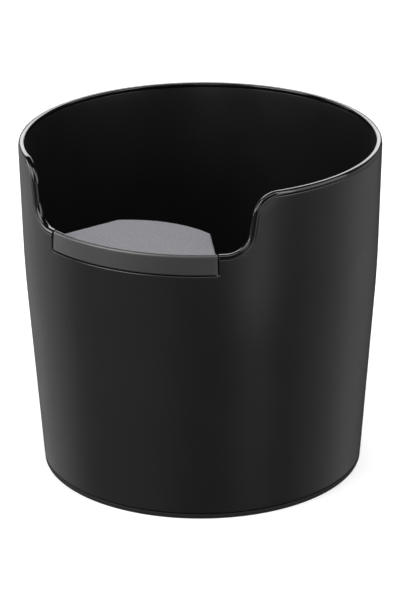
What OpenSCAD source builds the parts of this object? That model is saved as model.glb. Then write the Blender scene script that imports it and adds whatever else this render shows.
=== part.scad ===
// Espresso knock box.
// A tapered round tub stands on a rubber base ring. A low cut-out at the front takes a knock
// block with a soft pad. The block hangs on a bracket inside the tub and lifts straight up.
// +Z is up, the cut-out faces -Y, and the origin is the centre of the resting face.

/* [Tub] */
// Height from the resting face to the top of the rim
height = 165.6; // [160:0.1:180]
// Outer radius where the lower taper would meet the resting face
foot_r = 78.95; // [77:0.05:81]
// Height at which the lower taper turns into the steeper upper wall
waist_z = 101.3; // [95:0.1:106]
// Outer radius at that height
waist_r = 86.05; // [85:0.05:87]
// Outer radius at the top of the rim
rim_r = 87.5; // [87.2:0.05:89]
// Half the height over which the two tapers blend
waist_blend = 15; // [8:1:18]
// Wall thickness
wall = 2.8; // [2.4:0.1:3]
// Thickness of the tub's floor
floor_t = 3; // [2:0.1:5]
// Height of the floor's underside
floor_z = 9; // [8.5:0.1:14]
// Fillet between wall and floor, inside
floor_fillet = 8; // [4:0.5:14]

/* [Cut-out] */
// Height of the lip's crest
lip_z = 137.1; // [135:0.1:140]
// Radius of each shoulder's lower arc, measured on the unrolled wall
shoulder_low_r = 11.2; // [9:0.1:11.4]
// The same for the upper arc
shoulder_high_r = 13; // [10:0.1:13.2]
// Distance along the wall from the front to the centre of the lower arc
shoulder_in = 48.4; // [47.5:0.1:48.6]
// The same for the upper arc
shoulder_out = 73.4; // [73.2:0.1:76]

/* [Rim bead] */
// Height of the bead
bead_h = 2.2; // [2:0.1:3.2]
// Radial width of the bead
bead_w = 3; // [2.8:0.1:3.2]
// How far the bead stands back from the wall's outer face
bead_step = 0.15; // [0.05:0.05:0.3]
// Rounding of the bead's and the panel's outer top edge
crest_r = 1.2; // [0.6:0.1:1.4]
// Rounding of their inner top edge
crest_inner_r = 0.5; // [0.3:0.1:0.8]

/* [Knock block] */
// Half of the angle that the block takes up of the wall
block_angle = 29.1; // [27:0.1:30]
// Gap between the block and the wall's cut edges
block_gap = 0.6; // [0.4:0.1:0.8]
// Height of the front panel
panel_h = 9.6; // [9:0.1:11]
// Thickness of the front panel at its lower edge
panel_t = 2.9; // [2.7:0.1:3]
// Height of the pad's top face
pad_top_z = 134.2; // [133.5:0.1:135]
// Radius of the pad's round back edge, about the front of the wall
block_reach = 49.8; // [48:0.1:52]
// Thickness of the pad over its core plate
pad_t = 6.7; // [5:0.1:7]
// Thickness of the steel core plate
core_t = 3; // [2:0.1:4]
// Thickness of the carrier's deck
deck_t = 5; // [4.5:0.1:5.5]
// Width of the tongue that guides the block
tongue_w = 30; // [24:1:34]
// Thickness of the tongue
tongue_t = 4.5; // [3.5:0.1:5]
// Length of the tongue below the deck
tongue_l = 15.5; // [12:0.5:16]

/* [Base] */
// Visible height of the base ring
ring_h = 2.4; // [2:0.1:3]
// Groove between the base ring and the wall's lower edge
ring_groove = 0.5; // [0.3:0.1:0.8]
// Thickness of the base plate
plate_t = 2.5; // [2:0.1:3]
// Radius of the circle of base screws
base_screw_pcr = 55; // [45:1:58]
// Number of base screws
base_screw_n = 4; // [3:1:6]

/* [Hidden] */
$fn = 180;
small_fn = 32;
arc_steps = 8;
over = 1;          // how far a cutting tool runs past what it cuts
bond = 0.05;       // glue line between parts of one body
fit = 0.3;         // gap between neighbours that come apart

lower_slope = (waist_r - foot_r) / waist_z;
upper_slope = (rim_r - waist_r) / (height - waist_z);
skirt_z = ring_h + ring_groove;
floor_top = floor_z + floor_t;
panel_z = lip_z - panel_h;
sill_z = panel_z - block_gap;

// Zero above the blend, t below it, and a parabola between
function kink(t, half) = t <= -half ? t : t >= half ? 0 : -pow(half - t, 2) / (4 * half);
function outer_r(z) = waist_r + upper_slope * (z - waist_z)
    + (lower_slope - upper_slope) * kink(z - waist_z, waist_blend);
function inner_r(z) = outer_r(z) - wall;
// Heights from z0 to z1 that follow the wall's curve
function wall_stations(z0, z1) = concat([z0],
    [for (k = [-2:2]) let (z = waist_z + k * waist_blend / 2) if (z > z0 && z < z1) z], [z1]);
function flipped(list) = [for (i = [len(list) - 1:-1:0]) list[i]];
function arc(centre, r, from, to) = [for (i = [0:arc_steps])
    let (a = from + (to - from) * i / arc_steps) centre + r * [cos(a), sin(a)]];

block_front_r = inner_r(sill_z) - 0.5;      // block below the sill, clear of the wall
panel_in_r = outer_r(panel_z) - panel_t;
upstand_t = 3.1;                            // carrier's rib behind the panel
upstand_in_r = panel_in_r - upstand_t;
upstand_z = pad_top_z - 1;
pad_r = upstand_in_r - fit;
core_top = pad_top_z - pad_t;
core_z = core_top - core_t;
deck_z = core_z - deck_t;
core_inset = 4;
core_r = pad_r - 3;

buffer_r = 4;
buffer_proud = 0.5;
buffer_t = 2.3;
buffer_spots = [for (side = [-1, 1]) [side * 30, -68]];
shelf_z = deck_z - buffer_proud;
shelf_t = 4;
shelf_in_r = 61.5;
bracket_angle = 27;
bracket_back = 3;
bracket_h = 19;
tongue_y = -77.5;
socket_t = 2.5;
socket_gap = 0.5;
gusset_x = 24;
gusset_t = 2.5;
rib_x = 10;
rib_h = 7;

pad_screw_spots = [[-20, -62], [20, -62], [0, -46]];
pad_screw_r = 2;
pad_screw_head = [3.5, 2.5];                // radius and height
panel_screw_angle = 16;
panel_screw_z = panel_z + 2.8;
panel_screw_r = 1.2;
panel_screw_head = [2.4, 1.2];
panel_screw_bite = 2.1;                     // depth in the panel
base_screw_r = 1.6;
base_screw_head = [3.3, 1.3];
base_boss_r = 4.5;
base_screw_l = 7;
thread = 0.1;                               // how far a screw cuts into its pilot hole

plate_z = 1.5;
plate_r = 72.6;
ring_foot_r = 73;
flange_in_r = 66;
flange_t = 2;
ring_round = 0.6;

// A sector of half angle `a` about -Y, with both sides moved in by `inset`
module sector(a, z0, z1, inset = 0)
    translate([0, -inset / sin(a), z0])
        linear_extrude(z1 - z0)
            polygon([[0, 0], 2 * rim_r * [-sin(a), -cos(a)], 2 * rim_r * [sin(a), -cos(a)]]);

// The knock block's outline: two radial sides, a round front and a round back edge
module block_prism(z0, z1, inset, front_r)
    intersection() {
        sector(block_angle, z0, z1, inset);
        translate([0, 0, z0]) cylinder(r = front_r, h = z1 - z0);
        translate([0, -outer_r(lip_z), z0]) cylinder(r = block_reach - inset, h = z1 - z0);
    }

// Right half of the cut-out on the unrolled wall, grown by `off` into the wall
function shoulder(off) =
    let (low = [shoulder_in, lip_z + shoulder_low_r],
         high = [shoulder_out, height - shoulder_high_r],
         run = high - low,
         lean = atan2(run[1], run[0]) - acos((shoulder_low_r + shoulder_high_r) / norm(run)))
    concat(arc(low, shoulder_low_r + off, -90, lean),
           arc(high, shoulder_high_r - off, 180 + lean, 90));
function wrapped(s) = outer_r(lip_z) * sin(s / outer_r(lip_z) * 180 / PI);
function cut_out_half(off) = concat([for (p = shoulder(off)) [wrapped(p[0]), p[1]]],
    [[wrapped(shoulder_out), height + over]]);
module cut_out(off)
    rotate([90, 0, 0])
        linear_extrude(2 * rim_r)
            polygon(concat(cut_out_half(off),
                [for (p = flipped(cut_out_half(off))) [-p[0], p[1]]]));

// The slot in the wall that the front panel fills, with its gap
module block_slot()
    sector(block_angle + block_gap / outer_r(panel_z) * 180 / PI, sill_z, height + over);

module tub_body()
    rotate_extrude()
        polygon(concat(
            [for (z = wall_stations(skirt_z, height - bead_h)) [outer_r(z), z]],
            [for (z = flipped(wall_stations(floor_top + floor_fillet, height - bead_h)))
                [inner_r(z), z]],
            arc([inner_r(floor_top + floor_fillet) - floor_fillet, floor_top + floor_fillet],
                floor_fillet, 0, -90),
            [[0, floor_top], [0, floor_z], [inner_r(floor_z), floor_z],
             [inner_r(skirt_z), skirt_z]]));

module around_base() for (i = [0:base_screw_n - 1])
    rotate(45 + i * 360 / base_screw_n) translate([base_screw_pcr, 0, 0]) children();

module tub_shell() color("#1d1d1f")
    difference() {
        union() {
            tub_body();
            // rib that clamps the base ring's flange
            difference() {
                translate([0, 0, plate_z + plate_t + flange_t])
                    cylinder(r = ring_foot_r - 1, h = floor_z - plate_z - plate_t - flange_t + over);
                cylinder(r = ring_foot_r - 3, h = floor_z + over);
                translate([0, 0, floor_z + over / 2]) cylinder(r = ring_foot_r, h = over);
            }
            around_base() translate([0, 0, plate_z + plate_t])
                cylinder(r = base_boss_r, h = floor_z - plate_z - plate_t + over / 2);
        }
        cut_out(bead_h);
        block_slot();
        around_base() translate([0, 0, plate_z])
            cylinder(r = base_screw_r - thread, h = base_screw_l + over, $fn = small_fn);
    }

// Section of the bead on the wall: rounded at its two top corners
module bead_ring()
    rotate_extrude()
        let (low_r = outer_r(lip_z - bead_h) - bead_step,
             top_r = outer_r(height) - bead_step)
        polygon(concat(
            [[low_r - bead_w, lip_z - bead_h], [low_r, lip_z - bead_h]],
            arc([top_r - crest_r, height - crest_r], crest_r, 0, 90),
            arc([top_r - bead_w + crest_inner_r, height - crest_inner_r],
                crest_inner_r, 90, 180)));

module rim_bead() color("#0c0c0d")
    difference() {
        intersection() {
            bead_ring();
            union() {
                cut_out(bead_h);
                translate([0, 0, height - bead_h]) cylinder(r = rim_r + over, h = bead_h + over);
            }
        }
        cut_out(0);
        block_slot();
    }

module tongue_hole(gap)
    translate([-tongue_w / 2 - gap, tongue_y - gap, 0])
        cube([tongue_w + 2 * gap, tongue_t + 2 * gap, height]);

module block_bracket() color("#262628")
    difference() {
        union() {
            intersection() {
                rotate_extrude()
                    polygon(concat(
                        [for (z = wall_stations(shelf_z - bracket_h, shelf_z))
                            [inner_r(z) - bond, z]],
                        [[shelf_in_r, shelf_z], [shelf_in_r, shelf_z - shelf_t],
                         [inner_r(shelf_z) - bracket_back, shelf_z - shelf_t],
                         [inner_r(shelf_z - bracket_h) - bracket_back, shelf_z - bracket_h]]));
                sector(bracket_angle, 0, height);
            }
            translate([-tongue_w / 2 - socket_gap - socket_t, tongue_y - 2,
                       shelf_z - bracket_h + 2])
                cube([tongue_w + 2 * (socket_gap + socket_t), tongue_t + socket_gap + socket_t + 2,
                      bracket_h - 2 - shelf_t / 2]);
            for (side = [-1, 1])
                translate([side * gusset_x + gusset_t / 2, -78, shelf_z - shelf_t / 2])
                    rotate([90, 0, -90])
                        linear_extrude(gusset_t)
                            polygon([[0, 0], [-15, 0], [0, 3 - bracket_h]]);
        }
        tongue_hole(socket_gap);
    }

module base_ring() color("#2b2b2d")
    rotate_extrude()
        polygon(concat(
            [[ring_foot_r, 0]],
            arc([foot_r - ring_round, ring_round], ring_round, -90, 0),
            [[foot_r, ring_h], [inner_r(skirt_z) - fit, ring_h],
             [inner_r(skirt_z) - fit, floor_z - fit],
             [ring_foot_r + bond, floor_z - fit],
             [ring_foot_r + bond, plate_z + plate_t + flange_t],
             [flange_in_r, plate_z + plate_t + flange_t], [flange_in_r, plate_z + plate_t],
             [ring_foot_r, plate_z + plate_t]]));

module base_plate() color("#232325")
    difference() {
        translate([0, 0, plate_z]) cylinder(r = plate_r, h = plate_t);
        around_base() translate([0, 0, plate_z - over]) {
            cylinder(r = base_screw_r + 0.2, h = plate_t + 2 * over, $fn = small_fn);
            cylinder(r = base_screw_head[0] + 0.2, h = base_screw_head[1] + over, $fn = small_fn);
        }
    }

// A pan-head screw that points up, with its head's face at z = 0
module screw(r, head, length) {
    cylinder(r = head[0], h = head[1], $fn = small_fn);
    cylinder(r = r, h = length, $fn = small_fn);
}

module base_screws() color("silver")
    around_base() translate([0, 0, plate_z])
        screw(base_screw_r, base_screw_head, base_screw_l);

module block_carrier() color("#1a1a1c")
    difference() {
        union() {
            block_prism(deck_z, core_z, 1, block_front_r);
            intersection() {
                sector(block_angle, deck_z, upstand_z, 1);
                difference() {
                    union() {
                        translate([0, 0, deck_z])
                            cylinder(r = block_front_r, h = upstand_z - deck_z);
                        translate([0, 0, panel_z])
                            cylinder(r = panel_in_r - bond, h = upstand_z - panel_z);
                    }
                    cylinder(r = upstand_in_r, h = height);
                }
            }
            translate([-tongue_w / 2, tongue_y, deck_z - tongue_l])
                cube([tongue_w, tongue_t, tongue_l + deck_t / 2]);
            for (side = [-1, 1])
                translate([side * rib_x - gusset_t / 2, -60, deck_z - rib_h])
                    cube([gusset_t, 15, rib_h + deck_t / 2]);
        }
        for (spot = pad_screw_spots)
            translate([spot[0], spot[1], deck_z - over]) {
                cylinder(r = pad_screw_r + 0.2, h = deck_t + 2 * over, $fn = small_fn);
                cylinder(r = pad_screw_head[0] + 0.2, h = pad_screw_head[1] + over,
                         $fn = small_fn);
            }
        for (spot = buffer_spots)
            translate([spot[0], spot[1], shelf_z])
                cylinder(r = buffer_r + bond, h = buffer_t, $fn = small_fn);
        at_panel_screws() {
            translate([0, 0, -over])
                cylinder(r = panel_screw_head[0] + 0.2, h = panel_screw_head[1] + over,
                         $fn = small_fn);
            cylinder(r = panel_screw_r + 0.2, h = upstand_t + over, $fn = small_fn);
        }
    }

// Frames whose +Z points out through the upstand, at its inner face
module at_panel_screws()
    for (side = [-1, 1])
        rotate(side * panel_screw_angle)
            translate([0, -upstand_in_r, panel_screw_z])
                rotate([90, 0, 0]) children();

module front_panel() color("#343436")
    difference() {
        intersection() {
            rotate_extrude()
                polygon(concat(
                    [[panel_in_r, panel_z], [outer_r(panel_z), panel_z]],
                    arc([outer_r(lip_z) - crest_r, lip_z - crest_r], crest_r, 0, 90),
                    arc([panel_in_r + crest_inner_r, lip_z - crest_inner_r],
                        crest_inner_r, 90, 180)));
            sector(block_angle, panel_z - over, height);
        }
        at_panel_screws()
            cylinder(r = panel_screw_r - thread, h = upstand_t + panel_screw_bite,
                     $fn = small_fn);
    }

module panel_screws() color("silver")
    at_panel_screws()
        screw(panel_screw_r, panel_screw_head, upstand_t + panel_screw_bite - 0.2);

module knock_pad() color("#8c8b91")
    difference() {
        block_prism(core_z, pad_top_z, 0, pad_r);
        block_prism(core_z - over, core_top, core_inset - bond, core_r + bond);
    }

module core_plate() color("#a8a9ad")
    difference() {
        block_prism(core_z, core_top, core_inset, core_r);
        for (spot = pad_screw_spots)
            translate([spot[0], spot[1], core_z - over])
                cylinder(r = pad_screw_r - thread, h = core_t + 2 * over, $fn = small_fn);
    }

module pad_screws() color("silver")
    for (spot = pad_screw_spots)
        translate([spot[0], spot[1], deck_z])
            screw(pad_screw_r, pad_screw_head, deck_t + core_t - 0.2);

module support_buffers() color("#333335")
    for (spot = buffer_spots)
        translate([spot[0], spot[1], shelf_z])
            cylinder(r = buffer_r, h = buffer_t, $fn = small_fn);

tub_shell();
rim_bead();
block_bracket();
base_ring();
base_plate();
base_screws();
block_carrier();
front_panel();
knock_pad();
core_plate();
pad_screws();
panel_screws();
support_buffers();
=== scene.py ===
"""Espresso knock box: the looks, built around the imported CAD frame."""

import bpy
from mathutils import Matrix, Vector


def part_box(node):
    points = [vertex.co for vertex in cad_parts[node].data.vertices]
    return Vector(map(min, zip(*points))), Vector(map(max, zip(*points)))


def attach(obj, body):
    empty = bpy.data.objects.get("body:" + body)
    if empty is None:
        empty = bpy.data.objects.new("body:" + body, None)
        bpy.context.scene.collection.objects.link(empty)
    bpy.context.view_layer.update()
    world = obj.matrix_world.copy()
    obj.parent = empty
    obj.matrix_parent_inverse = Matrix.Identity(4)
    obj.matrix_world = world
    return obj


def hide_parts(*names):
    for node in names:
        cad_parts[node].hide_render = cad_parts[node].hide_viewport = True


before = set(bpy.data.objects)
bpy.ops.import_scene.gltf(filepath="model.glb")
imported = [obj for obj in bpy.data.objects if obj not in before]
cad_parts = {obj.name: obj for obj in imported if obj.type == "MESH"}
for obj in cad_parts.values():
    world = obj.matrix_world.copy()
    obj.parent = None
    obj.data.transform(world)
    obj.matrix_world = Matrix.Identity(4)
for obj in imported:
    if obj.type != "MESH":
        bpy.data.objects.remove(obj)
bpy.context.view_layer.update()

from math import acos, atan2, cos, degrees, hypot, pi, radians, sin, sqrt

import bmesh
import bpy
from mathutils import Matrix, Quaternion, Vector

MM = 0.001

# ---------------------------------------------------------------- driving sizes, mm
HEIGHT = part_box("rim_bead")[1].z / MM
FOOT_R = 78.95  # lower taper's radius at the resting face
WAIST_Z, WAIST_R, WAIST_BLEND = 101.3, 86.05, 15.0  # taper's bend, and half its length
RIM_R = 87.5
WALL = 2.8
SKIRT_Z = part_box("tub_shell")[0].z / MM
FLOOR_Z, FLOOR_T, FLOOR_FILLET = 9.0, 3.0, 8.0  # underside, thickness, fillet to the wall

LIP_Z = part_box("front_panel")[1].z / MM
PANEL_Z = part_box("front_panel")[0].z / MM
SHOULDER_LOW_R, SHOULDER_HIGH_R = 11.2, 13.0  # the two arcs of each shoulder's S-curve
SHOULDER_IN, SHOULDER_OUT = 48.4, 73.4  # their centres' arc lengths from the front
BEAD_H, BEAD_W, BEAD_STEP = 2.2, 3.0, 0.15  # the step is in from the wall's face
BLOCK_ANGLE, BLOCK_GAP = 29.1, 0.6  # half angle in degrees, and the gap round the block
SILL_Z = PANEL_Z - BLOCK_GAP
PANEL_T = 2.9

PAD_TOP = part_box("knock_pad")[1].z / MM
PAD_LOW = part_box("knock_pad")[0].z / MM
PAD_FRONT_R = -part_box("knock_pad")[0].y / MM
BLOCK_REACH = 49.8  # radius of the pad's back edge about the wall's front

RING_H = 2.4  # height of the ring's visible foot
EDGE_OUT, EDGE_IN = 0.6, 0.25  # fillets on the tub wall's cut edges

LOWER_SLOPE = (WAIST_R - FOOT_R) / WAIST_Z
UPPER_SLOPE = (RIM_R - WAIST_R) / (HEIGHT - WAIST_Z)


def kink(t, half):
    """t below -half, zero above half, and a parabola between."""
    if t <= -half:
        return t
    return 0.0 if t >= half else -((half - t) ** 2) / (4 * half)


def outer_r(z):
    """Radius of the wall's outer face at a height."""
    bend = (LOWER_SLOPE - UPPER_SLOPE) * kink(z - WAIST_Z, WAIST_BLEND)
    return WAIST_R + UPPER_SLOPE * (z - WAIST_Z) + bend


WRAP_R = outer_r(LIP_Z)  # radius on which arc lengths along the wall are measured
HALF_TURN = pi * WRAP_R  # arc length from the front to the back
SLOT_S = radians(BLOCK_ANGLE) * WRAP_R + BLOCK_GAP  # and from the front to the slot's side


def on_wall(s, z, depth):
    """Point at arc length s from the front, height z, and depth in from the outer face."""
    r = outer_r(z) - depth
    return Vector((r * sin(s / WRAP_R), -r * cos(s / WRAP_R), z)) * MM


def at(r, angle, z):
    """Point at a radius and an angle about the front direction."""
    return Vector((r * sin(angle), -r * cos(angle), z)) * MM


# ---------------------------------------------------------------- mesh helpers
def spread(a, b, n):
    """n + 1 even steps from a to b."""
    return [a + (b - a) * i / n for i in range(n + 1)]


def arc(cx, cy, r, start, end, n):
    """Points on an arc, angles in degrees."""
    return [(cx + r * cos(radians(a)), cy + r * sin(radians(a))) for a in spread(start, end, n)]


class Builder:
    """Collects vertices and faces, then makes one welded, smooth-shaded object."""

    def __init__(self):
        self.verts = []
        self.faces = []

    def row(self, points):
        """Adds vertices and gives their indices."""
        start = len(self.verts)
        self.verts.extend(points)
        return list(range(start, start + len(points)))

    def bridge(self, a, b, closed=False):
        """Quads between two rows of as many vertices."""
        count = len(a) if closed else len(a) - 1
        for i in range(count):
            j = (i + 1) % len(a)
            self.faces.append((a[i], a[j], b[j], b[i]))

    def sheet(self, rows, closed=False):
        """Rows of points, each joined to the next."""
        made = [self.row(points) for points in rows]
        for a, b in zip(made, made[1:]):
            self.bridge(a, b, closed)
        return made

    def fan(self, ring, centre):
        """Triangles from a closed ring to its centre."""
        middle = self.row([centre])[0]
        for i in range(len(ring)):
            self.faces.append((ring[i], ring[(i + 1) % len(ring)], middle))

    def cap(self, ring):
        """One flat face over a closed ring."""
        self.faces.append(tuple(ring))

    def object(self, name, sharp=40):
        mesh = bpy.data.meshes.new(name)
        mesh.from_pydata(self.verts, [], self.faces)
        return finished(mesh, name, sharp)


def finished(mesh, name, sharp=40, weld=2e-6):
    """Welds a mesh, turns its faces outward, shades it smooth and links it as an object."""
    bm = bmesh.new()
    bm.from_mesh(mesh)
    bmesh.ops.remove_doubles(bm, verts=bm.verts, dist=weld)
    bmesh.ops.dissolve_degenerate(bm, edges=bm.edges, dist=weld / 2)
    bmesh.ops.recalc_face_normals(bm, faces=bm.faces)
    bm.to_mesh(mesh)
    bm.free()
    mesh.polygons.foreach_set("use_smooth", [True] * len(mesh.polygons))
    mesh.set_sharp_from_angle(angle=radians(sharp))
    obj = bpy.data.objects.new(name, mesh)
    bpy.context.scene.collection.objects.link(obj)
    return obj


def revolved(name, outline, steps=180, sharp=40):
    """A closed outline of (radius, height) turned about the axis."""
    b = Builder()
    rows = [[at(r, a, z) for r, z in outline] for a in spread(0, 2 * pi, steps)[:-1]]
    made = [b.row(points) for points in rows]
    for a, c in zip(made, made[1:] + made[:1]):
        b.bridge(a, c, closed=True)
    return b.object(name, sharp)


# ---------------------------------------------------------------- cut-out's edge
SHOULDER_STEPS, BACK_STEPS = 32, 96


def edge_half(grow):
    """Wall's edge from the block's slot to the back, grown into the wall.

    Gives (s, z, normal) with the normal pointing out of the wall, in the unrolled plane."""
    low = (SHOULDER_IN, LIP_Z + SHOULDER_LOW_R)
    high = (SHOULDER_OUT, HEIGHT - SHOULDER_HIGH_R)
    run = (high[0] - low[0], high[1] - low[1])
    both = SHOULDER_LOW_R + SHOULDER_HIGH_R
    lean = degrees(atan2(run[1], run[0]) - acos(both / hypot(*run)))
    points = [(s, LIP_Z - grow, (0, 1)) for s in spread(SLOT_S, SHOULDER_IN, 4)[:-1]]
    for a in spread(-90, lean, SHOULDER_STEPS):
        n = (-cos(radians(a)), -sin(radians(a)))
        r = SHOULDER_LOW_R + grow
        points.append((low[0] - r * n[0], low[1] - r * n[1], n))
    first = points[-1]
    n = first[2]
    r = SHOULDER_HIGH_R - grow
    last = (high[0] + r * n[0], high[1] + r * n[1])
    for t in spread(0, 1, 8)[1:-1]:
        points.append((first[0] + (last[0] - first[0]) * t,
                       first[1] + (last[1] - first[1]) * t, n))
    for a in spread(180 + lean, 90, SHOULDER_STEPS):
        n = (cos(radians(a)), sin(radians(a)))
        points.append((high[0] + r * n[0], high[1] + r * n[1], n))
    back = spread(SHOULDER_OUT, HALF_TURN, BACK_STEPS)[1:]
    return points + [(s, HEIGHT - grow, (0, 1)) for s in back]


def other_side(points):
    """The same points on the object's left, in the opposite order."""
    return [(2 * HALF_TURN - s, z, (-n[0], n[1])) for s, z, n in reversed(points)]


def edge_path(grow):
    """The whole edge, from the slot's right side round the back to its left side."""
    right = edge_half(grow)
    return right + other_side(right[:-1])


# ---------------------------------------------------------------- tub shell
SLOT_CORNER = 0.55  # radius in the slot's lower corners
SLOT_RISE = [SILL_Z] + spread(SILL_Z + SLOT_CORNER, LIP_Z - BEAD_H, 6)
SLOT_ROUND = [(cos(radians(a)), sin(radians(a))) for a in spread(-90, 0, 6)]


def slot_side():
    """The slot's right side from its corner up: (s, z, direction out of the wall)."""
    corner = [(SLOT_S + SLOT_CORNER * (x - 1), SILL_Z + SLOT_CORNER * (y + 1), (-x, -y))
              for x, y in SLOT_ROUND[1:-1]]
    return corner + [(SLOT_S, z, (-1, 0)) for z in SLOT_RISE[1:-1]]


def shell_edge(b, boundary):
    """The wall's cut edge with its fillets, from the outer to the inner surface."""
    section = [(EDGE_OUT * (1 - sin(radians(a))), EDGE_OUT * (1 - cos(radians(a))))
               for a in spread(0, 90, 9)]
    section += [(EDGE_IN * (1 - sin(radians(a))), WALL - EDGE_IN * (1 - cos(radians(a))))
                for a in spread(90, 0, 7)]
    b.sheet([[on_wall(s - m[0] * below, z - m[1] * below, depth) for s, z, m in boundary]
             for below, depth in section], closed=True)


def shell_upper(b, top, depth, fillet):
    """One surface of the wall above the sill's level; gives the arc lengths of its foot."""
    split = SILL_Z - fillet
    seat = [(s - m[0] * fillet, z - m[1] * fillet) for s, z, m in top]
    levels = [split] + SLOT_RISE[1:-1] + [SLOT_RISE[-1] - fillet]
    rows = []
    for k, level in enumerate(levels):
        t = k / (len(levels) - 1)
        row = [on_wall(s, split + (z - split) * t, depth) for s, z in seat]
        row[0] = on_wall(seat[0][0], level, depth)
        row[-1] = on_wall(seat[-1][0], level, depth)
        rows.append(row)
    b.sheet(rows)
    # the bits of wall outside the slot's rounded lower corners
    reach = SLOT_CORNER + fillet
    centre = SLOT_S - SLOT_CORNER
    for way, middle in ((1, centre), (-1, 2 * HALF_TURN - centre)):
        tip = b.row([on_wall(middle + way * reach, split, depth)])[0]
        bend = b.row([on_wall(middle + way * reach * x, SILL_Z + SLOT_CORNER + reach * y, depth)
                      for x, y in SLOT_ROUND])
        b.faces += [(tip, i, j) for i, j in zip(bend, bend[1:])]
    return [s for s, _ in seat]


def outside_outline():
    """(radius, height) down the lower wall, round the skirt's edge and under the floor."""
    edge_out, edge_in = 0.4, 0.3  # fillets on the skirt's lower edge
    skirt_r = outer_r(SKIRT_Z)
    outline = [(outer_r(z), z) for z in spread(SILL_Z - EDGE_OUT, SKIRT_Z + edge_out, 46)]
    outline += arc(skirt_r - edge_out, SKIRT_Z + edge_out, edge_out, 0, -90, 8)[1:]
    outline += arc(skirt_r - WALL + edge_in, SKIRT_Z + edge_in, edge_in, 270, 180, 8)
    outline += [(outer_r(FLOOR_Z) - WALL, FLOOR_Z)]
    return outline + [(r, FLOOR_Z) for r in (70, 55, 40, 25, 12)]  # rings on the flat underside


def inside_outline():
    """(radius, height) down the inner wall, round the floor's fillet and along the floor."""
    floor_top = FLOOR_Z + FLOOR_T
    wall_foot = floor_top + FLOOR_FILLET
    outline = [(outer_r(z) - WALL, z) for z in spread(SILL_Z - EDGE_IN, wall_foot, 40)]
    fillet_r = outline[-1][0] - FLOOR_FILLET
    outline += arc(fillet_r, wall_foot, FLOOR_FILLET, 0, -90, 10)[1:]
    return outline + [(r, floor_top) for r in (60, 48, 36, 24, 12)]  # rings on the flat floor


def shell_lower(b, around, outline):
    """One surface under the sill's level, closed on the axis."""
    made = b.sheet([[at(r, s / WRAP_R, z) for s in around] for r, z in outline], closed=True)
    b.fan(made[-1], at(0, 0, outline[-1][1]))


def tub_shell():
    """The wall with its cut-out and slot, the floor and the skirt, as one closed mesh."""
    path = edge_path(BEAD_H)
    first, last = path[0], path[-1]
    top = [(first[0], first[1], (-1, 1))] + path[1:-1] + [(last[0], last[1], (1, 1))]
    sill = [(s, SILL_Z, (0, 1)) for s in spread(SLOT_CORNER - SLOT_S, SLOT_S - SLOT_CORNER, 50)]
    b = Builder()
    shell_edge(b, sill + slot_side() + top + other_side(slot_side()))
    for depth, fillet, outline in ((0, EDGE_OUT, outside_outline()),
                                   (WALL, EDGE_IN, inside_outline())):
        foot = shell_upper(b, top, depth, fillet)
        shell_lower(b, [s for s, _, _ in sill] + foot, outline)
    return b.object("tub_wall", sharp=16)


# ---------------------------------------------------------------- rim bead
def bead_section():
    """(height above the wall's edge, depth in from the wall's face), from the outer foot up."""
    face, back = BEAD_STEP, BEAD_STEP + BEAD_W
    round_w, round_h = 1.35, 1.95  # the outer rounding, an ellipse
    inner, crown, foot = 0.75, 0.04, 0.3  # inner rounding, the top's swell, inner lower edge
    top, flat = BEAD_H - crown, face + round_w
    points = [(0.0, face)]
    points += [(top - round_h * (1 - sin(radians(a))), flat - round_w * cos(radians(a)))
               for a in spread(0, 90, 14)]
    for t in spread(0, 1, 6)[1:-1]:
        lift = crown * (1 - (2 * t - 1) ** 2)
        points.append((top + lift, flat + (back - inner - flat) * t))
    points += [(top - inner + x, back - inner + y) for x, y in arc(0, 0, inner, 0, 90, 8)]
    points += [(foot + x, back - foot + y) for x, y in arc(0, 0, foot, 90, 180, 3)]
    return points


def rim_bead():
    """The glossy bead, swept along the wall's edge and closed at both ends."""
    path = edge_path(BEAD_H)
    b = Builder()
    rows = [[on_wall(s + n[0] * up, z + n[1] * up, depth) for up, depth in bead_section()]
            for s, z, n in path]
    made = [b.row(points) for points in rows]
    for a, c in zip(made, made[1:]):
        b.bridge(a, c, closed=True)
    b.cap(made[0])
    b.cap(made[-1])
    return b.object("rim_bead_moulding", sharp=50)


# ---------------------------------------------------------------- front panel
def panel_section(inset):
    """Panel's section as (radius, height), moved in by inset on every side.

    The face leans back a little, and behind its round crest the top falls towards the pad."""
    roll, drop = 1.1, 1.3  # the crest's width and height
    lean, fall = 0.6, 0.9
    small, foot = 0.3, 0.3  # inner upper and lower edges
    inner = outer_r(PANEL_Z) - PANEL_T + inset
    top, low = LIP_Z - inset, PANEL_Z + inset
    face_top, face_low = outer_r(LIP_Z) - lean - inset, outer_r(PANEL_Z) - inset
    points = arc(face_low - foot, low + foot, foot, -90, 0, 5)
    points += [(face_low + (face_top - face_low) * t, low + (top - drop - low) * t)
               for t in spread(0.1, 0.95, 6)]
    points += [(face_top - roll + roll * cos(radians(a)), top - drop + drop * sin(radians(a)))
               for a in spread(6, 112, 16)]
    points += arc(inner + small, top - fall - small, small, 50, 180, 7)
    points += arc(inner + foot, low + foot, foot, 180, 270, 3)
    return points


def front_panel():
    """The curved strip that closes the cut-out, with small roundings at its ends."""
    end = 0.45  # rounding of the two ends
    half = radians(BLOCK_ANGLE)
    left = [(end * (1 - cos(radians(a))) / WRAP_R - half, end * (1 - sin(radians(a))))
            for a in spread(0, 90, 4)]
    middle = [(a, 0.0) for a in spread(left[-1][0], -left[-1][0], 40)[1:-1]]
    right = [(-a, inset) for a, inset in reversed(left)]
    b = Builder()
    made = [b.row([at(r, angle, z) for r, z in panel_section(inset)])
            for angle, inset in left + middle + right]
    for a, c in zip(made, made[1:]):
        b.bridge(a, c, closed=True)
    b.cap(made[0])
    b.cap(made[-1])
    return b.object("panel_moulding", sharp=50)


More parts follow.
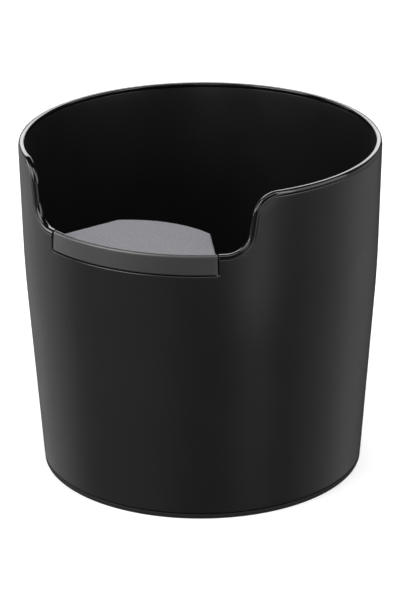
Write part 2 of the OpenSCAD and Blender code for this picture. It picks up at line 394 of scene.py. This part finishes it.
# ---------------------------------------------------------------- knock pad
def pad_outline(inset):
    """Pad's plan outline: front arc, right side, round back edge, left side."""
    half = radians(BLOCK_ANGLE)
    centre = outer_r(LIP_Z)  # the back edge is an arc about the wall's front
    front, back = PAD_FRONT_R - inset, BLOCK_REACH - inset
    apex = inset / sin(half)  # the sides, moved in, start from here instead of the axis
    shift = apex - centre
    to_front = -apex * cos(half) + sqrt(front ** 2 - (apex * sin(half)) ** 2)
    to_back = -shift * cos(half) - sqrt(back ** 2 - (shift * sin(half)) ** 2)

    edge = atan2(to_front * sin(half), apex + to_front * cos(half))
    front_arc = [(front * sin(a), -front * cos(a)) for a in spread(-edge, edge, 40)]
    fx, fy = front_arc[-1]
    x, y = to_back * sin(half), -apex - to_back * cos(half)
    side = [(fx + (x - fx) * t, fy + (y - fy) * t) for t in spread(0, 1, 16)[1:-1]]
    turn = atan2(x, centre + y)
    back_arc = [(back * sin(a), -centre + back * cos(a)) for a in spread(turn, -turn, 32)]
    return front_arc + side + back_arc + [(-px, py) for px, py in reversed(side)]


def knock_pad():
    """The soft pad: rounded top edge, slightly rounded lower edge."""
    top_r, low_r = 0.9, 0.4
    levels = [(low_r * (1 - sin(radians(a))), PAD_LOW + low_r * (1 - cos(radians(a))))
              for a in spread(0, 90, 3)]
    levels += [(0.0, z) for z in spread(PAD_LOW + low_r, PAD_TOP - top_r, 4)[1:-1]]
    levels += [(top_r * (1 - cos(radians(a))), PAD_TOP - top_r * (1 - sin(radians(a))))
               for a in spread(0, 90, 6)]
    levels += [(inset, PAD_TOP) for inset in (2.5, 6.0)]  # rings on the flat top
    b = Builder()
    rows = [[Vector((x, y, z)) * MM for x, y in pad_outline(inset)] for inset, z in levels]
    made = b.sheet(rows, closed=True)
    b.cap(made[0])
    b.cap(made[-1])
    return b.object("pad_moulding", sharp=50)


# ---------------------------------------------------------------- base ring
def base_ring():
    """The rubber ring under the skirt: foot, plug and clamped flange."""
    foot_in, flange_in = 73.0, 66.0
    flange_low, flange_top = 4.0, 6.0
    inner, outer, upper = 0.3, 0.6, 0.25  # fillets on the foot's edges
    draft = 0.05  # the bore is this much wider above the foot
    plug_r = outer_r(SKIRT_Z) - WALL - 0.3
    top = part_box("base_ring")[1].z / MM
    points = arc(foot_in + inner, inner, inner, 180, 270, 3)
    points += arc(FOOT_R - outer, outer, outer, 270, 360, 5)
    points += arc(FOOT_R - upper, RING_H - upper, upper, 0, 90, 3)
    points += [(plug_r, RING_H), (plug_r, top), (foot_in + draft, top),
               (foot_in + draft, flange_top), (flange_in, flange_top), (flange_in, flange_low),
               (foot_in, flange_low)]
    return revolved("base_ring_moulding", points, steps=200)


# ---------------------------------------------------------------- CAD shapes with softened edges
def softened(node, name, width=0.3):
    """A copy of a CAD node's mesh with its flat faces merged and its edges rounded."""
    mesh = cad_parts[node].data.copy()
    bm = bmesh.new()
    bm.from_mesh(mesh)
    bmesh.ops.remove_doubles(bm, verts=bm.verts, dist=1e-6)
    bmesh.ops.dissolve_limit(bm, angle_limit=radians(1.0), verts=bm.verts, edges=bm.edges)
    bm.to_mesh(mesh)
    bm.free()
    obj = finished(mesh, name, sharp=30, weld=1e-6)
    obj.data.materials.clear()
    bevel = obj.modifiers.new("edges", "BEVEL")
    bevel.width = width * MM
    bevel.segments = 2
    bevel.limit_method = "ANGLE"
    bevel.angle_limit = radians(40)
    bevel.use_clamp_overlap = True
    return obj


# ---------------------------------------------------------------- screws and buffers
BASE_PLATE_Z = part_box("base_plate")[0].z / MM


def add_screw(b, place, shaft, head_r, head_h, length):
    """A round-headed socket screw that points along +Z of place, its head's face at zero."""
    socket, depth, rim = 0.48 * head_r, 0.6 * head_h, 0.12
    face, tip = 0.72, 0.4  # flat part of the head, and the chamfer at the shaft's end
    # (radius, height, whether the ring is a hexagon)
    outline = [(socket, depth, True), (socket, rim / 2, True), (socket + rim, 0.0, False)]
    outline += [(head_r * (face + (1 - face) * sin(radians(a))), depth * (1 - cos(radians(a))),
                 False) for a in spread(0, 90, 6)]
    outline += [(head_r, head_h, False), (shaft, head_h, False), (shaft, length - tip, False),
                (0.7 * shaft, length, False)]
    rows = []
    for r, z, hexagon in outline:
        row = []
        for a in spread(0, 2 * pi, 36)[:-1]:
            reach = r / cos((a % (pi / 3)) - pi / 6) if hexagon else r
            row.append(place @ Vector((reach * cos(a), reach * sin(a), z)) * MM)
        rows.append(row)
    made = b.sheet(rows, closed=True)
    b.fan(made[0], place @ Vector((0, 0, outline[0][1])) * MM)
    b.fan(made[-1], place @ Vector((0, 0, length)) * MM)


def base_screws():
    """Four screws on a circle, up through the base plate."""
    circle, shaft, head_r, head_h, length = 55, 1.6, 3.3, 1.3, 7
    b = Builder()
    for turn in (45, 135, 225, 315):
        x, y = circle * cos(radians(turn)), circle * sin(radians(turn))
        add_screw(b, Matrix.Translation((x, y, BASE_PLATE_Z)), shaft, head_r, head_h, length)
    return b.object("base_screw_set", sharp=35)


def pad_screws():
    """Three screws, up through the carrier into the core plate."""
    shaft, head_r, head_h = 2.0, 3.5, 2.5
    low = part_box("pad_screws")[0].z / MM
    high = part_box("pad_screws")[1].z / MM
    b = Builder()
    for x, y in ((-20, -62), (20, -62), (0, -46)):
        add_screw(b, Matrix.Translation((x, y, low)), shaft, head_r, head_h, high - low)
    return b.object("pad_screw_set", sharp=35)


def panel_screws():
    """Two screws from behind, through the carrier's rib into the panel."""
    angle, rise, rib = 16, 2.8, 3.1
    shaft, head_r, head_h, length = 1.2, 2.4, 1.2, 5.0
    there = Matrix.Translation((0, rib + PANEL_T - outer_r(PANEL_Z), PANEL_Z + rise))
    forward = Matrix.Rotation(radians(90), 4, "X")
    b = Builder()
    for side in (-1, 1):
        turned = Matrix.Rotation(radians(angle * side), 4, "Z")
        add_screw(b, turned @ there @ forward, shaft, head_r, head_h, length)
    return b.object("panel_screw_set", sharp=35)


def support_buffers():
    """Two rubber buttons with rounded lower rims."""
    radius, edge, flat = 4.0, 0.5, 3.2
    x_side, y_row = 30, -68
    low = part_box("support_buffers")[0].z / MM
    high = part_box("support_buffers")[1].z / MM
    outline = [(flat, low)] + arc(radius - edge, low + edge, edge, -90, 0, 5) + [(radius, high)]
    b = Builder()
    for x in (-x_side, x_side):
        made = b.sheet([[Vector((x + r * cos(a), y_row + r * sin(a), z)) * MM
                         for a in spread(0, 2 * pi, 40)[:-1]] for r, z in outline], closed=True)
        b.fan(made[0], Vector((x, y_row, low)) * MM)
        b.fan(made[-1], Vector((x, y_row, high)) * MM)
    return b.object("buffer_set", sharp=50)


# ---------------------------------------------------------------- materials
def node_material(name):
    """A new material: itself, its node tree, its shader and its object coordinates."""
    material = bpy.data.materials.new(name)
    material.use_nodes = True
    tree = material.node_tree
    shader = tree.nodes["Principled BSDF"]
    coords = tree.nodes.new("ShaderNodeTexCoord")
    return material, tree, shader, coords.outputs["Object"]


def noise(tree, vector, scale, detail=3.0, roughness=0.55):
    """Noise values; scale counts features per metre, roughly."""
    node = tree.nodes.new("ShaderNodeTexNoise")
    node.inputs["Scale"].default_value = scale
    node.inputs["Detail"].default_value = detail
    node.inputs["Roughness"].default_value = roughness
    tree.links.new(vector, node.inputs["Vector"])
    return node.outputs["Fac"]


def remap(tree, value, low, high, from_low=0.3, from_high=0.7):
    """value taken from one range to another; the usual range is that of a noise."""
    node = tree.nodes.new("ShaderNodeMapRange")
    for key, number in (("From Min", from_low), ("From Max", from_high),
                        ("To Min", low), ("To Max", high)):
        node.inputs[key].default_value = number
    tree.links.new(value, node.inputs["Value"])
    return node.outputs["Result"]


def mixed(tree, factor, a, b):
    """Colour between a and b; each is an (r, g, b) or a socket."""
    node = tree.nodes.new("ShaderNodeMix")
    node.data_type = "RGBA"
    for key, value in (("A", a), ("B", b)):
        socket = [i for i in node.inputs if i.name == key and i.type == "RGBA"][0]
        if isinstance(value, tuple):
            socket.default_value = (*value, 1)
        else:
            tree.links.new(value, socket)
    factor_socket = [i for i in node.inputs if i.name == "Factor" and i.type == "VALUE"][0]
    tree.links.new(factor, factor_socket)
    return [o for o in node.outputs if o.type == "RGBA"][0]


def bumped(tree, shader, height, distance):
    """Gives the shader a bump of that depth in metres."""
    node = tree.nodes.new("ShaderNodeBump")
    node.inputs["Strength"].default_value = 1.0
    node.inputs["Distance"].default_value = distance
    tree.links.new(height, node.inputs["Height"])
    tree.links.new(node.outputs["Normal"], shader.inputs["Normal"])


# convex edges: where wear shows, and where the rubber gets its painted edge highlight
def edge_wear_and_highlight(tree):
    """0 on flats, 1 on sharp convex edges."""
    flat, edge = 0.52, 0.60
    geometry = tree.nodes.new("ShaderNodeNewGeometry")
    return remap(tree, geometry.outputs["Pointiness"], 0.0, 1.0, flat, edge)


def scaled(colour, factor, lift=0.0):
    """A colour made lighter or darker."""
    return tuple(min(1, c * factor + lift) for c in colour)


def moulded_plastic(name, colour, rough, grain=0.00001, ior=1.5):
    """Injection-moulded plastic: fine spark texture, slow gloss variation, rubbed edges.

    A higher ior stands for a lacquer that mirrors more of the room."""
    grain_scale = 2600
    rubbed = 0.6  # share of the roughness that a rubbed edge keeps
    material, tree, shader, where = node_material(name)
    cloud = noise(tree, where, 22, detail=4)
    body = mixed(tree, remap(tree, cloud, 0, 1), scaled(colour, 0.88), colour)
    worn_and_highlit = mixed(tree, edge_wear_and_highlight(tree), body, scaled(colour, 1.35, 0.001))
    tree.links.new(worn_and_highlit, shader.inputs["Base Color"])
    smudge = noise(tree, where, 60, detail=5, roughness=0.6)
    uneven = remap(tree, smudge, rough - 0.02, rough + 0.03)
    polish = tree.nodes.new("ShaderNodeMath")
    polish.operation = "MULTIPLY"
    tree.links.new(uneven, polish.inputs[0])
    tree.links.new(remap(tree, edge_wear_and_highlight(tree), 1.0, rubbed, 0, 1), polish.inputs[1])
    tree.links.new(polish.outputs[0], shader.inputs["Roughness"])
    shader.inputs["IOR"].default_value = ior
    bumped(tree, shader, noise(tree, where, grain_scale, detail=2), grain)
    return material


def grained_rubber(name, colour, rough, specular=0.35):
    """Dense elastomer: visible fine grain, tiny pits, a soft, dusty surface and lighter edges,
    part wear and part painted highlight.
    """
    grain, grain_scale = 0.00006, 900
    material, tree, shader, where = node_material(name)
    speck = noise(tree, where, grain_scale, detail=3, roughness=0.7)
    cloud = noise(tree, where, 75, detail=4)
    body = mixed(tree, remap(tree, speck, 0, 1), scaled(colour, 0.76), scaled(colour, 1.2))
    dusty = mixed(tree, remap(tree, cloud, 0, 0.35), body, scaled(colour, 1.15))
    # painted highlight: rubber edges made lighter as if catching the light, on top of real wear
    worn_and_highlit = mixed(tree, edge_wear_and_highlight(tree), dusty, scaled(colour, 1.25))
    tree.links.new(worn_and_highlit, shader.inputs["Base Color"])
    tree.links.new(remap(tree, cloud, rough - 0.04, rough + 0.04), shader.inputs["Roughness"])
    shader.inputs["Specular IOR Level"].default_value = specular
    bumped(tree, shader, speck, grain)
    return material


def metal(name, colour, rough):
    """Zinc-plated or cut steel: streaked roughness and faint tarnish."""
    grain = 0.000004
    material, tree, shader, where = node_material(name)
    stretch = tree.nodes.new("ShaderNodeMapping")
    stretch.inputs["Scale"].default_value = (1, 12, 1)
    tree.links.new(where, stretch.inputs["Vector"])
    streak = noise(tree, stretch.outputs["Vector"], 260, detail=4)
    tarnish = noise(tree, where, 120, detail=4)
    tint = mixed(tree, remap(tree, tarnish, 0, 0.6), colour, scaled(colour, 0.72))
    tree.links.new(tint, shader.inputs["Base Color"])
    shader.inputs["Metallic"].default_value = 1.0
    tree.links.new(remap(tree, streak, rough - 0.08, rough + 0.1), shader.inputs["Roughness"])
    bumped(tree, shader, streak, grain)
    return material


TUB = moulded_plastic("tub_plastic", (0.0065, 0.0065, 0.0068), 0.29)
GLOSS = moulded_plastic("bead_gloss", (0.003, 0.003, 0.003), 0.1, grain=0.0000003)
PANEL = moulded_plastic("panel_plastic", (0.009, 0.009, 0.0092), 0.45, grain=0.000008, ior=1.9)
CARRIER = moulded_plastic("carrier_plastic", (0.009, 0.009, 0.0095), 0.45)
INNER = moulded_plastic("inner_plastic", (0.012, 0.012, 0.0125), 0.45)
PAD = grained_rubber("pad_rubber", (0.152, 0.15, 0.165), 0.75)
BASE_RUBBER = grained_rubber("base_rubber", (0.008, 0.008, 0.0082), 0.6, specular=0.25)
BUFFER = grained_rubber("buffer_rubber", (0.03, 0.03, 0.03), 0.7)
STEEL = metal("core_steel", (0.45, 0.45, 0.46), 0.38)
ZINC = metal("screw_steel", (0.6, 0.6, 0.61), 0.3)


def dress(obj, material, body, slot, *nodes):
    """Gives a piece its material and body, and says which nodes it replaces; the slot argument
    is not used.
    """
    obj.data.materials.append(material)
    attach(obj, body)
    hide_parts(*nodes)
    return obj


dress(tub_shell(), TUB, "tub", "tub_plastic", "tub_shell")
dress(rim_bead(), GLOSS, "tub", "bead_gloss", "rim_bead")
dress(base_ring(), BASE_RUBBER, "tub", "base_rubber", "base_ring")
dress(softened("block_bracket", "bracket_moulding"), INNER, "tub", "inner_plastic",
      "block_bracket")
dress(softened("base_plate", "base_plate_moulding"), INNER, "tub", "inner_plastic", "base_plate")
dress(front_panel(), PANEL, "knock_block", "panel_plastic", "front_panel")
dress(knock_pad(), PAD, "knock_block", "pad_rubber", "knock_pad")
dress(softened("block_carrier", "carrier_moulding"), CARRIER, "knock_block", "carrier_plastic",
      "block_carrier")
dress(softened("core_plate", "core_sheet", width=0.2), STEEL, "knock_block", "core_steel",
      "core_plate")
dress(base_screws(), ZINC, "tub", "screw_steel", "base_screws")
dress(pad_screws(), ZINC, "knock_block", "screw_steel", "pad_screws")
dress(panel_screws(), ZINC, "knock_block", "screw_steel", "panel_screws")
dress(support_buffers(), BUFFER, "knock_block", "buffer_rubber", "support_buffers")


# ---------------------------------------------------------------- stage
# Camera: its place and focal length come from fitting the perspective of the outlines.
VIEW_AZIMUTH, VIEW_ELEVATION = 24.0, 21.88  # degrees, from the object's front and the floor
VIEW_DISTANCE = 1.3696  # metres, from AXIS_POINT
LENS, SENSOR = 166.93, 36  # mm
ROLL = -0.43  # degrees
AIM = Vector((-0.0004, -0.0002, 0.0804))
AXIS_POINT = Vector((0, 0, 0.0828))

LIT_POINT = Vector((0, 0, 0.09))  # what every softbox faces
FLOOR_WHITE, FLOOR_GLOW = 0.6, 0.5
WHITE = (1, 1, 1, 1)

# Light off the white table: elevation where it starts, where it is full, and its level.
TABLE_LIGHT = (4, -6, 0.058)

# Soft patches of light off the room and table: azimuth, elevation, half angle at full,
# half angle at none, and level.
ROOM_PATCHES = (
    (35, -11, 4, 20, 1.31),  # the streak on the front's right
    (100, -15, 12, 42, 0.23),  # right side
    (125, -12, 10, 38, 0.25),  # right rear
    (-130, -15, 15, 42, 0.42),  # left rear
    (-60, -20, 18, 52, 0.15),  # left of the front
)


def plain_floor():
    """A white sheet that the lights and its own faint glow keep pale."""
    mesh = bpy.data.meshes.new("floor")
    side = 6.0
    low = -0.0001  # just under the resting face
    mesh.from_pydata([(-side, -side, low), (side, -side, low), (side, side, low),
                      (-side, side, low)], [], [(0, 1, 2, 3)])
    floor = bpy.data.objects.new("floor", mesh)
    bpy.context.scene.collection.objects.link(floor)
    material, _, shader, _ = node_material("floor_white")
    shader.inputs["Base Color"].default_value = (FLOOR_WHITE, FLOOR_WHITE, FLOOR_WHITE, 1)
    shader.inputs["Roughness"].default_value = 0.9
    shader.inputs["Emission Color"].default_value = WHITE
    shader.inputs["Emission Strength"].default_value = FLOOR_GLOW
    mesh.materials.append(material)
    floor.visible_glossy = False
    floor.visible_shadow = False


def towards(azimuth, elevation):
    """Unit vector to a bearing seen from the object, 0 being the camera's side."""
    turn, rise = radians(VIEW_AZIMUTH + azimuth), radians(elevation)
    return Vector((sin(turn) * cos(rise), -cos(turn) * cos(rise), sin(rise)))


def softbox(name, azimuth, elevation, distance, size, radiance, mirrored=True):
    """A plain rectangular softbox that faces the object; unmirrored, it only fills."""
    data = bpy.data.lights.new(name, "AREA")
    data.shape = "RECTANGLE"
    data.size, data.size_y = size
    data.energy = pi * size[0] * size[1] * radiance
    light = bpy.data.objects.new(name, data)
    away = towards(azimuth, elevation)
    light.location = LIT_POINT + away * distance
    light.rotation_mode = "QUATERNION"
    light.rotation_quaternion = away.to_track_quat("Z", "Y")
    light.visible_glossy = mirrored
    bpy.context.scene.collection.objects.link(light)


def faded(tree, value, start, full, level):
    """0 before start, level past full, and a smooth step between."""
    node = tree.nodes.new("ShaderNodeMapRange")
    node.interpolation_type = "SMOOTHSTEP"
    for key, number in (("From Min", start), ("From Max", full), ("To Min", 0.0),
                        ("To Max", level)):
        node.inputs[key].default_value = number
    tree.links.new(value, node.inputs["Value"])
    return node.outputs["Result"]


def patch_glow(tree, ray, azimuth, elevation, inner, outer, level):
    """Strength of one soft round patch of light."""
    near = tree.nodes.new("ShaderNodeVectorMath")
    near.operation = "DOT_PRODUCT"
    near.inputs[1].default_value = towards(azimuth, elevation)
    tree.links.new(ray, near.inputs[0])
    return faded(tree, near.outputs["Value"], cos(radians(outer)), cos(radians(inner)), level)


def white_background(tree):
    """A plain white world shader."""
    node = tree.nodes.new("ShaderNodeBackground")
    node.inputs["Color"].default_value = WHITE
    return node


def studio_world(below, patches):
    """White behind the object; the table's light and the room's patches for everything else."""
    world = bpy.data.worlds.new("studio")
    world.use_nodes = True
    tree = world.node_tree
    tree.nodes.clear()
    link = tree.links.new
    ray = tree.nodes.new("ShaderNodeTexCoord").outputs["Generated"]
    height = tree.nodes.new("ShaderNodeSeparateXYZ")
    link(ray, height.inputs[0])
    none, full, level = below
    total = faded(tree, height.outputs["Z"], sin(radians(none)), sin(radians(full)), level)
    for patch in patches:
        add = tree.nodes.new("ShaderNodeMath")
        add.operation = "ADD"
        link(total, add.inputs[0])
        link(patch_glow(tree, ray, *patch), add.inputs[1])
        total = add.outputs[0]
    seen, room = white_background(tree), white_background(tree)
    link(total, room.inputs["Strength"])
    path = tree.nodes.new("ShaderNodeLightPath")
    mix = tree.nodes.new("ShaderNodeMixShader")
    link(path.outputs["Is Camera Ray"], mix.inputs[0])
    link(room.outputs[0], mix.inputs[1])
    link(seen.outputs[0], mix.inputs[2])
    out = tree.nodes.new("ShaderNodeOutputWorld")
    link(mix.outputs[0], out.inputs["Surface"])
    bpy.context.scene.world = world


def camera():
    """The photograph's viewing angle."""
    data = bpy.data.cameras.new("camera")
    data.lens = LENS
    data.sensor_width = SENSOR
    view = bpy.data.objects.new("camera", data)
    view.location = AXIS_POINT + towards(0, VIEW_ELEVATION) * VIEW_DISTANCE
    look = (view.location - AIM).to_track_quat("Z", "Y")
    view.rotation_mode = "QUATERNION"
    view.rotation_quaternion = look @ Quaternion((0, 0, 1), radians(ROLL))
    bpy.context.scene.collection.objects.link(view)
    bpy.context.scene.camera = view


plain_floor()
studio_world(TABLE_LIGHT, ROOM_PATCHES)
# azimuth and elevation in degrees, distance and size in metres, and radiance
softbox("back_softbox", 180, 29.4, 1.5, (1.9, 0.56), 4.0)
softbox("left_back_softbox", -160, 13, 1.4, (0.4, 0.36), 1.2)
softbox("right_back_softbox", 160, 13, 1.4, (0.4, 0.36), 1.6)
softbox("overhead_softbox", 180, 86, 1.3, (1.1, 1.1), 1.85, mirrored=False)
softbox("front_top_softbox", 5, 58, 1.3, (0.9, 0.7), 2.1)
softbox("right_softbox", 76, 22, 1.3, (1.1, 0.95), 1.9)
softbox("left_softbox", -58, 30, 1.3, (0.9, 1.1), 5.2)
softbox("low_left_softbox", -106, 5, 1.3, (0.6, 0.5), 4.4)
softbox("right_strip", 50, 35, 1.3, (0.36, 1.5), 3.3)
softbox("front_fill", -5, 8, 1.3, (0.4, 0.3), 2.4)
camera()
bpy.context.scene.view_settings.view_transform = "Standard"
